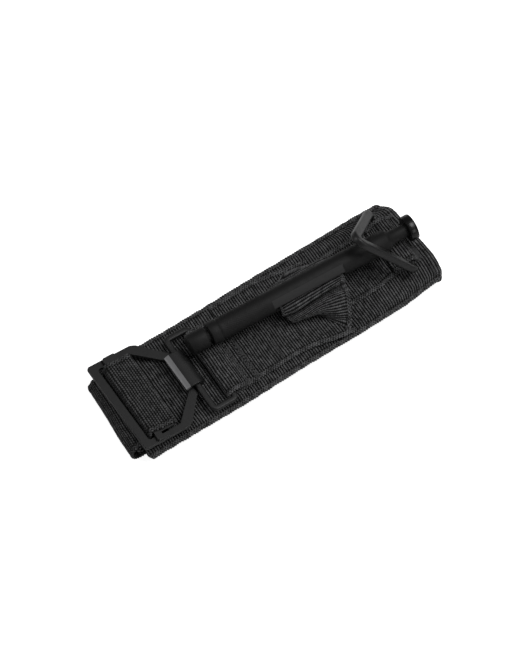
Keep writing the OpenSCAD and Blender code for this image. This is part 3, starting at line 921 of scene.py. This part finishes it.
class TOURNIQUET_OT_link_ring(Operator):
    """Rectangular link ring between the buckle's hook and the sewn tab"""
    bl_idname = "tourniquet.link_ring"
    bl_label = "Link ring"

    def execute(self, context):
        metal = context.scene.hardware_sizes
        lo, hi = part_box("link_ring")
        depth = RING_PIVOT.x - BUCKLE_PIVOT.x
        lean = math.atan2(BUCKLE_PIVOT.z - RING_PIVOT.z, depth)
        depth = math.hypot(depth, BUCKLE_PIVOT.z - RING_PIVOT.z)
        half = (hi.y - lo.y) / 2 - 1.1 * MM
        corner = 1.6 * MM
        centres = [(corner - depth, corner - half), (-corner, corner - half), (-corner, half - corner),
                   (corner - depth, half - corner)]
        loop = fill_in(round_corner_loop(centres, corner), 4 * MM)
        section = rounded_section(metal.wire_w, metal.wire_t, 0.7 * MM)
        place = Vector((RING_PIVOT.x, (lo.y + hi.y) / 2, RING_PIVOT.z))
        placing = Matrix.Translation(place) @ Matrix.Rotation(lean, 4, "Y")
        ring = sweep_loop("link_ring_steel", loop, lambda _: section, placing, ["steel"])
        settle(ring, "link", "black_steel", "link_ring")
        return {"FINISHED"}


class TOURNIQUET_OT_holding_ring(Operator):
    """Triangular ring of flat bar that holds the rod's end, with a round side in the webbing"""
    bl_idname = "tourniquet.holding_ring"
    bl_label = "Triangular ring"

    def execute(self, context):
        metal = context.scene.hardware_sizes
        lo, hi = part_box("tri_ring")
        half = (hi.y - lo.y) / 2 - metal.holder_r
        bend = metal.holder_r - metal.holder_w / 2
        centres = [(bend, -half), (metal.holder_h - metal.holder_r, 0), (bend, half)]
        loop = fill_in(round_corner_loop(centres, bend, 12), 2.5 * MM)
        flat = rounded_section(metal.holder_w, metal.holder_t, 1.0 * MM, 5)
        turns = np.arctan2(flat[:, 1], flat[:, 0])
        wire = np.stack([np.cos(turns), np.sin(turns)], 1) * metal.hinge_r

        def section_at(place):
            share = float(ease((place.x - 0.4 * MM) / (3.2 * MM)))
            return wire * (1 - share) + flat * share

        place = Vector((HOLDER_PIVOT.x, (lo.y + hi.y) / 2, HOLDER_PIVOT.z))
        placing = Matrix.Translation(place) @ Matrix.Rotation(metal.holder_tilt - math.pi, 4, "Y")
        ring = sweep_loop("holding_ring_steel", loop, section_at, placing, ["worn"])
        near_corner_out = 1.7 * MM
        for vertex in ring.data.vertices:
            rise = math.hypot(vertex.co.x - place.x, vertex.co.z - place.z)
            near = (place.y - vertex.co.y) / (17 * MM)
            free = max(ease((rise - 3 * MM) / (5 * MM)), ease((near - 0.6) / 0.4))
            vertex.co.x += float(free * np.clip(near, 0, 1)) * near_corner_out
        settle(ring, "holding_ring", "worn_steel", "tri_ring")
        return {"FINISHED"}


def at_rod(context):
    """Places what is drawn along X, from the middle of the rod's slot."""
    sizes = context.scene.rod_sizes
    turned = Matrix.Rotation(sizes.yaw, 4, "Z") @ Matrix.Rotation(-sizes.pitch, 4, "Y")
    return Matrix.Translation(ROD_MIDDLE) @ turned


def rod_profile(sizes):
    """The rod's left and right ends, as (place, radius) corners from left to right."""
    x0, x1 = sizes.start, sizes.start + sizes.length
    neck0, collar0 = x0 + 8.4 * MM, x0 + 9.8 * MM
    body0 = collar0 + 4.4 * MM
    end0 = x1 - 3.8 * MM
    neck1 = end0 - 9.6 * MM
    r = 0.8 * MM
    knob, neck, collar, body, end = sizes.knob, sizes.neck, sizes.collar, sizes.radius, sizes.end
    left = [(x0, 0), (x0, knob - 1.3 * r), (x0 + 0.25 * r, knob - 0.6 * r), (x0 + r, knob),
            (neck0 - r, knob), (neck0 - 0.3 * r, knob - 0.3 * r), (neck0, knob - r),
            (neck0, neck + 0.2 * MM), (neck0 + 0.2 * MM, neck), (collar0 - 0.2 * MM, neck),
            (collar0, neck + 0.2 * MM), (collar0, collar - 0.6 * MM),
            (collar0 + 0.15 * MM, collar - 0.2 * MM), (collar0 + 0.6 * MM, collar),
            (body0 - 0.5 * MM, collar), (body0, body - 0.15 * MM), (body0 + 0.5 * MM, body)]
    right = [(neck1, body), (neck1 + 0.5 * MM, body - 0.3 * MM), (neck1 + 2.2 * MM, neck + 0.2 * MM),
             (end0 - 0.1 * MM, neck), (end0, neck + 0.1 * MM), (end0, end - r),
             (end0 + 0.25 * r, end - 0.3 * r), (end0 + r, end), (x1 - r, end),
             (x1 - 0.3 * r, end - 0.3 * r), (x1, end - 1.1 * r), (x1, 0)]
    return left, right


class TOURNIQUET_OT_rod(Operator):
    """Turned rod with a knurled grip, knobs on necks, two flats and the slot for the webbing"""
    bl_idname = "tourniquet.rod"
    bl_label = "Windlass rod"

    def execute(self, context):
        sizes = context.scene.rod_sizes
        left, right = rod_profile(sizes)
        knurl0, knurl1 = left[-1][0] + 0.8 * MM, -18.6 * MM
        steps = round((knurl1 - knurl0) / sizes.knurl) * 6
        grip = [(knurl0 + (knurl1 - knurl0) * k / steps, sizes.radius) for k in range(steps + 1)]
        plain = [(x * MM, sizes.radius) for x in (-18.2, -16, -10, -4, 4, 10, 16, 19.5, 26)]
        profile = left[1:] + grip + plain + right[:-1]
        around = 156
        diamonds = round(math.tau * sizes.radius / sizes.knurl)
        turns = np.arange(around) * math.tau / around
        rings = []
        for x, r in profile:
            radius = np.full(around, r)
            if knurl0 < x < knurl1:
                fade = min(1.0, (x - knurl0) / MM, (knurl1 - x) / MM)
                rows = (x - knurl0) / sizes.knurl
                first = np.abs((rows + turns * diamonds / math.tau) % 1 - 0.5) * 2
                second = np.abs((rows - turns * diamonds / math.tau) % 1 - 0.5) * 2
                radius -= sizes.knurl_depth * fade * np.clip(np.maximum(first, second) * 2.2 - 1.1, 0, 1)
            rings.append(np.stack([np.full(around, x), radius * np.cos(turns), radius * np.sin(turns)], 1))
        rod = new_piece("windlass_rod_metal", np.concatenate(rings), ring_faces(len(rings), around, False),
                        ["rod", "steel_edge", "gloss", "flat"])
        face_outwards(rod)
        cutters = [self.slot_cutter(sizes), self.flat_cutter(sizes, 45), self.flat_cutter(sizes, 225)]
        for cutter in cutters:
            cut = rod.modifiers.new("cut", "BOOLEAN")
            cut.operation = "DIFFERENCE"
            cut.solver = "EXACT"
            cut.object = cutter
        keep_modifiers(rod)
        for cutter in cutters:
            bpy.data.objects.remove(cutter)
        end_x = right[4][0] - 0.05 * MM
        # Just under the square root of 2, which the normals of both flats reach at 45 degrees
        on_flat = 1.4139
        for face in rod.data.polygons:
            if face.center.x > end_x:
                face.material_index = 2
            # These faces take the machined flat's finish, lighter partly as a painted highlight
            elif abs(face.normal.z - face.normal.y) > on_flat and abs(face.center.x) < 16.75 * MM:
                face.material_index = 3
        rod.data.set_sharp_from_angle(angle=math.radians(40))
        rod.data.transform(at_rod(context))
        settle(rod, "windlass", "black_aluminium", "windlass_rod")
        return {"FINISHED"}

    @staticmethod
    def slot_cutter(sizes):
        section = rounded_section(sizes.slot_len, sizes.slot_h, sizes.slot_h / 2 - 0.01 * MM, 8)
        depth = 3 * sizes.radius
        vertices = [(a, y, b) for y in (-depth, depth) for a, b in section]
        cutter = new_piece("slot_cutter", vertices, ring_faces(2, len(section), False), ["rod"])
        face_outwards(cutter)
        return cutter

    @staticmethod
    def flat_cutter(sizes, tilt):
        """A block whose lower face is the flat, tilted about the rod towards the near side."""
        half, floor, top = 16.7 * MM, sizes.radius - 0.35 * MM, sizes.radius * 2
        vertices = [(x, y, z) for x in (-half, half) for y, z in
                    ((-top, floor), (top, floor), (top, top), (-top, top))]
        cutter = new_piece("flat_cutter", vertices, ring_faces(2, 4, False), ["rod"])
        face_outwards(cutter)
        cutter.data.transform(Matrix.Rotation(math.radians(tilt), 4, "X"))
        return cutter


# The loop's near leg, in millimetres: lines from the rod's slot down to the strap, each a list of
# (x, y, z), from the leg's inner edge to its outer one
NEAR_LEG = [
    [(7.3, 0.4, 17.6), (6.8, -2.0, 16.6), (8.5, -0.6, 13.0), (9.1, -4.6, 13.2), (10.8, -5.0, 11.4),
     (14.0, -3.2, 10.4), (15.0, -1.5, 9.9)],
    [(12.7, 0.2, 18.1), (11.9, -3.2, 17.2), (13.8, -0.4, 11.8), (14.9, -5.6, 14.6), (16.6, -6.8, 12.8),
     (17.4, -4.6, 10.4), (18.0, -4.0, 9.8)],
    [(21.8, -0.1, 18.6), (18.8, -3.2, 17.9), (20.5, -0.2, 11.4), (21.2, -6.0, 16.2), (21.3, -8.8, 14.8),
     (21.0, -7.0, 10.6), (20.5, -6.5, 9.8)],
    [(29.6, -0.3, 18.7), (27.6, -3.0, 18.2), (28.9, -1.2, 13.4), (28.2, -7.0, 17.2), (25.6, -12.0, 15.6),
     (24.6, -12.0, 11.2), (23.5, -11.8, 9.9)],
    [(37.1, -0.8, 18.7), (36.5, -3.0, 18.4), (35.9, -4.6, 16.6), (34.7, -8.3, 17.2), (31.8, -14.4, 15.2),
     (29.6, -18.2, 12.2), (27.4, -20.6, 9.9)],
]


class TOURNIQUET_OT_loop(Operator):
    """The webbing that goes through the rod's slot and comes down, twisted, on both sides of it"""
    bl_idname = "tourniquet.loop"
    bl_label = "Windlass loop"

    def execute(self, context):
        sizes = context.scene.webbing_sizes
        near = np.array(NEAR_LEG)
        middle = np.array([ROD_MIDDLE.x / MM, ROD_MIDDLE.y / MM])
        far = near[::-1].copy()
        far[:, 2:4] = (far[:, 1:3] + far[:, 2:4] + far[:, 3:5]) / 3
        out = middle[1] - far[:, :, 1]
        out = np.where(out < 6, out, 6 + (out - 6) * 0.3)
        drift = np.linspace(0, 9, far.shape[1])[None, :]
        far[:, :, 0] = 2 * middle[0] - far[:, :, 0] + drift
        far[:, :, 1] = middle[1] + out
        inside = (near[:, 0] + far[:, 0]) / 2
        inside[:, 2] = ROD_MIDDLE.z / MM
        net = np.concatenate([near[:, ::-1], inside[:, None], far], axis=1) * MM
        across = net.transpose(1, 0, 2)
        steps = np.linalg.norm(np.diff(net[-2], axis=0), axis=1)
        run = steps.sum()
        knots = np.concatenate([[0], np.cumsum(steps)]) / run
        width = 33 * MM

        def surface(s, w):
            places = np.interp(s[:, 0] / run, knots, np.linspace(0, 1, len(knots)))
            lines = spline(across, places)
            return spline(lines.transpose(1, 0, 2), w[0] / width + 0.5).transpose(1, 0, 2)

        shape = (lambda s, w: surface(s[:, :1], w)), run
        loop = woven("windlass_loop_webbing", shape, width, sizes.loop, sizes.strap_rib, "pad", 51)
        x, y = ROD_MIDDLE.x, ROD_MIDDLE.y
        settle(loop, ("root", "windlass", (x, y, 10.5 * MM), (x, y, 15 * MM)), "pad_webbing", "windlass_loop")
        return {"FINISHED"}


class TOURNIQUET_OT_upper_straps(Operator):
    """Sewn tab round the link ring, tension strap, anchor strap and the triangular ring's loop"""
    bl_idname = "tourniquet.upper_straps"
    bl_label = "Upper straps"

    def execute(self, context):
        sizes = context.scene.webbing_sizes
        half, rib = sizes.strap / 2, sizes.strap_rib
        lo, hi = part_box("link_tab")
        base, top = lo.z + half, hi.z - half
        left = lo.x + half
        roll = (top - base) / 2
        down = lo.z + 1.5 * sizes.strap
        corners = [(hi.x - 0.2 * MM, base, 0), (left, base, roll), (left, top, roll),
                   (RING_PIVOT.x + 4.0 * MM, top, 4 * MM), (RING_PIVOT.x + 8.2 * MM, down, 4 * MM),
                   (hi.x, down, 0)]
        tab = woven("link_tab_webbing", flat_strap(corners, middle_y("link_tab")), width_y("link_tab"),
                    sizes.strap, rib, "pad", 61)
        settle(tab, "root", "pad_webbing", "link_tab")

        lo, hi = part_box("tension_strap")
        right = high("loop_foot_near").x - 1.5 * MM
        strap_y = middle_y("tension_strap")
        corners = [(lo.x, lo.z + half, 0), (right, lo.z + half, 0)]

        def skew(points):
            """Turns the strap towards the near side and lifts its near edge, where the loop pulls."""
            x, y = points[:, :, 0], points[:, :, 1]
            share = ease((x - hi.x) / (right - hi.x))
            near = ease((strap_y - y) / (17 * MM))
            far = ease((y - strap_y) / (17 * MM))
            points[:, :, 1] -= share * (near * 4.2 * MM + far * 3.4 * MM)
            lift = ease((x - 4 * MM) / (12 * MM)) * ease((right + 3 * MM - x) / (10 * MM))
            points[:, :, 2] += lift * near ** 3 * 0.9 * MM + near * 0.12 * MM * np.sin(x / (4.2 * MM))
            return points

        strap = woven("tension_strap_webbing", flat_strap(corners, strap_y), width_y("tension_strap"),
                      sizes.strap, rib, "pad", 63, shift=skew)
        settle(strap, "root", "pad_webbing", "tension_strap", "loop_foot_near", "loop_foot_far")

        lo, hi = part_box("anchor_strap")
        corners = [(lo.x, lo.z + half, 0), (hi.x, lo.z + half, 0)]

        def spread_out(points):
            """Lets the strap's near edge stand out at its left end."""
            share = ease((58 * MM - points[:, :, 0]) / (10 * MM))
            points[:, :, 1] -= share * ease((4 * MM - points[:, :, 1]) / (12 * MM)) * 1.5 * MM
            return points

        anchor = woven("anchor_strap_webbing", flat_strap(corners, middle_y("anchor_strap")),
                       width_y("anchor_strap"), sizes.strap, rib, "pad", 65, shift=spread_out)
        settle(anchor, "root", "pad_webbing", "anchor_strap")

        lo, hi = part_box("ring_loop")
        crest = hi.z - half
        x, foot = HOLDER_PIVOT.x, lo.z + half
        corners = [(lo.x, foot, 0), (x - 4.6 * MM, foot, 2 * MM), (x - 2.4 * MM, crest, 2 * MM),
                   (x + 2.4 * MM, crest, 2 * MM), (x + 4.6 * MM, foot, 2 * MM), (hi.x, foot, 0)]
        cover = woven("ring_loop_webbing", flat_strap(corners, middle_y("ring_loop")), width_y("ring_loop"),
                      sizes.strap, rib, "pad", 67)
        settle(cover, "root", "pad_webbing", "ring_loop")
        return {"FINISHED"}


def untidy(stitches, seed, size):
    """Stitches whose ends are moved about sideways by up to size."""
    rng = np.random.default_rng(seed)
    return [[end + Vector((*rng.uniform(-size, size, 2), rng.uniform(0, size * 0.5))) for end in stitch]
            for stitch in stitches]


class TOURNIQUET_OT_stitching(Operator):
    """Bar tacks and seams"""
    bl_idname = "tourniquet.stitching"
    bl_label = "Stitching"

    def execute(self, context):
        r = context.scene.webbing_sizes.stitch
        lo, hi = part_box("tab_tacks")
        stitches = []
        for seed, offset in ((5, -2.4), (6, -1.4), (7, 2.0), (8, 3.0)):
            x = lo.x + offset * MM
            row = row_of_stitches((x, lo.y, lo.z + r), (x, hi.y, lo.z + r), 0.62 * MM, 1.3 * MM)
            stitches += untidy(row[::2] + row[1::3], seed, 0.5 * MM)
        tab = sewn("tab_stitching", stitches, r * 1.5)
        settle(tab, "root", "thread", "tab_tacks")

        lo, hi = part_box("loop_tacks")
        stitches = row_of_stitches((lo.x, lo.y, lo.z + r), (lo.x, hi.y, lo.z + r), 0.75 * MM, 1.3 * MM)
        loop = sewn("loop_stitching", stitches, r)
        settle(loop, "root", "thread", "loop_tacks")

        lo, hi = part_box("anchor_tacks")
        stitches = []
        for x in (lo.x, hi.x - 1.4 * MM):
            stitches += row_of_stitches((x, lo.y, lo.z + r), (x, hi.y, lo.z + r), 0.75 * MM, 1.4 * MM)
        foot = HOLDER_PIVOT + Vector((4.6 * MM, -8.6 * MM, 0))
        foot.z = high("anchor_strap").z + 1.5 * MM
        for k in range(-7, 8):
            reach = 3.6 * MM * math.sqrt(1 - (k / 8) ** 2)
            middle = foot + Vector((k * 0.27 * MM, 0, 0))
            stitches.append((middle - Vector((0, reach, 0)), middle + Vector((0, reach, 0))))
        anchor = sewn("anchor_stitching", stitches, r)
        settle(anchor, "root", "thread", "anchor_tacks")

        lo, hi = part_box("end_tacks")
        stitches = row_of_stitches((lo.x, lo.y, lo.z + r), (lo.x, hi.y, lo.z + r), 0.75 * MM, 1.4 * MM)
        end = sewn("end_stitching", stitches, r)
        settle(end, "root", "thread", "end_tacks")
        return {"FINISHED"}


# ---------------------------------------------------------------------------------------------
# Stage
# ---------------------------------------------------------------------------------------------


def seen_directly(tree):
    """1 where the camera looks straight at a surface, else 0."""
    return tree.nodes.new("ShaderNodeLightPath").outputs["Is Camera Ray"]


def lamp(name, place, size, power, aim):
    data = bpy.data.lights.new(name, "AREA")
    data.size = size
    data.energy = power
    light = bpy.data.objects.new(name, data)
    light.location = place
    light.rotation_euler = (Vector(aim) - Vector(place)).to_track_quat("-Z", "Y").to_euler()
    bpy.context.scene.collection.objects.link(light)


class TOURNIQUET_OT_stage(Operator):
    """White floor, soft lights, white surroundings and the camera"""
    bl_idname = "tourniquet.stage"
    bl_label = "Stage"

    def execute(self, context):
        settings = context.scene.stage_settings
        size = 3.0
        mesh = bpy.data.meshes.new("floor")
        corners = [(-size, -size, 0), (size, -size, 0), (size, size, 0), (-size, size, 0)]
        mesh.from_pydata(corners, [], [(0, 1, 2, 3)])
        floor = bpy.data.objects.new("floor", mesh)
        floor.location.z = -0.02 * MM
        context.scene.collection.objects.link(floor)
        material, tree, shader = blank_finish("paper_white", Roughness=0.9, Specular_IOR_Level=0.0)
        shader.inputs["Base Color"].default_value = (0.8, 0.8, 0.8, 1)
        shader.inputs["Emission Color"].default_value = (1, 1, 1, 1)
        glow = calc(tree, "MULTIPLY", seen_directly(tree), 0.85)
        tree.links.new(glow, shader.inputs["Emission Strength"])
        mesh.materials.append(material)

        world = bpy.data.worlds.new("surroundings")
        world.use_nodes = True
        context.scene.world = world
        tree = world.node_tree
        sky = tree.nodes["Background"]
        sky.inputs["Color"].default_value = (1, 1, 1, 1)
        seen = seen_directly(tree)
        strength = spread(tree, seen, 0, 1, settings.sky, 1.0)
        tree.links.new(strength, sky.inputs["Strength"])

        aim = Vector(settings.aim)
        lamp("key", (0.36, -0.14, 0.9), 0.5, settings.key, aim)
        lamp("fill", (0.25, -0.85, 0.4), 0.4, settings.fill, aim)
        lamp("glint", (-0.66, 0.35, 0.64), 0.3, settings.glint, aim)

        back = Vector((math.sin(settings.azimuth) * math.cos(settings.elevation),
                       -math.cos(settings.azimuth) * math.cos(settings.elevation),
                       math.sin(settings.elevation)))
        data = bpy.data.cameras.new("camera")
        data.lens = settings.lens
        distance = settings.view / 2 / (data.sensor_width / 2 / data.lens)
        camera = bpy.data.objects.new("camera", data)
        camera.location = aim + back * distance
        camera.rotation_mode = "QUATERNION"
        camera.rotation_quaternion = (-back).to_track_quat("-Z", "Y")
        data.clip_start, data.clip_end = 0.05, 20
        context.scene.collection.objects.link(camera)
        context.scene.camera = camera
        context.scene.view_settings.view_transform = "Standard"
        return {"FINISHED"}


PIECES = (
    TOURNIQUET_OT_pad,
    TOURNIQUET_OT_tail,
    TOURNIQUET_OT_long_strap,
    TOURNIQUET_OT_buckle,
    TOURNIQUET_OT_slider,
    TOURNIQUET_OT_link_ring,
    TOURNIQUET_OT_upper_straps,
    TOURNIQUET_OT_rod,
    TOURNIQUET_OT_loop,
    TOURNIQUET_OT_holding_ring,
    TOURNIQUET_OT_stitching,
    TOURNIQUET_OT_stage,
)


class TOURNIQUET_PT_panel(Panel):
    """Lists the tourniquet's pieces and the stage"""
    bl_label = "Tourniquet"
    bl_idname = "TOURNIQUET_PT_panel"
    bl_space_type = "VIEW_3D"
    bl_region_type = "UI"
    bl_category = "Tourniquet"

    def draw(self, context):
        for piece in PIECES:
            self.layout.operator(piece.bl_idname)


GROUPS = {
    "webbing_sizes": WebbingSizes,
    "hardware_sizes": HardwareSizes,
    "rod_sizes": RodSizes,
    "finishes": Finishes,
    "stage_settings": StageSettings,
}
CLASSES = (*GROUPS.values(), *PIECES, TOURNIQUET_PT_panel)


def register():
    for cls in CLASSES:
        bpy.utils.register_class(cls)
    for name, group in GROUPS.items():
        setattr(bpy.types.Scene, name, PointerProperty(type=group))


def unregister():
    for name in GROUPS:
        delattr(bpy.types.Scene, name)
    for cls in reversed(CLASSES):
        bpy.utils.unregister_class(cls)


def main():
    register()
    make_finishes(bpy.context)
    for piece in PIECES:
        group, name = piece.bl_idname.split(".")
        getattr(getattr(bpy.ops, group), name)()


if __name__ == "__main__":
    main()
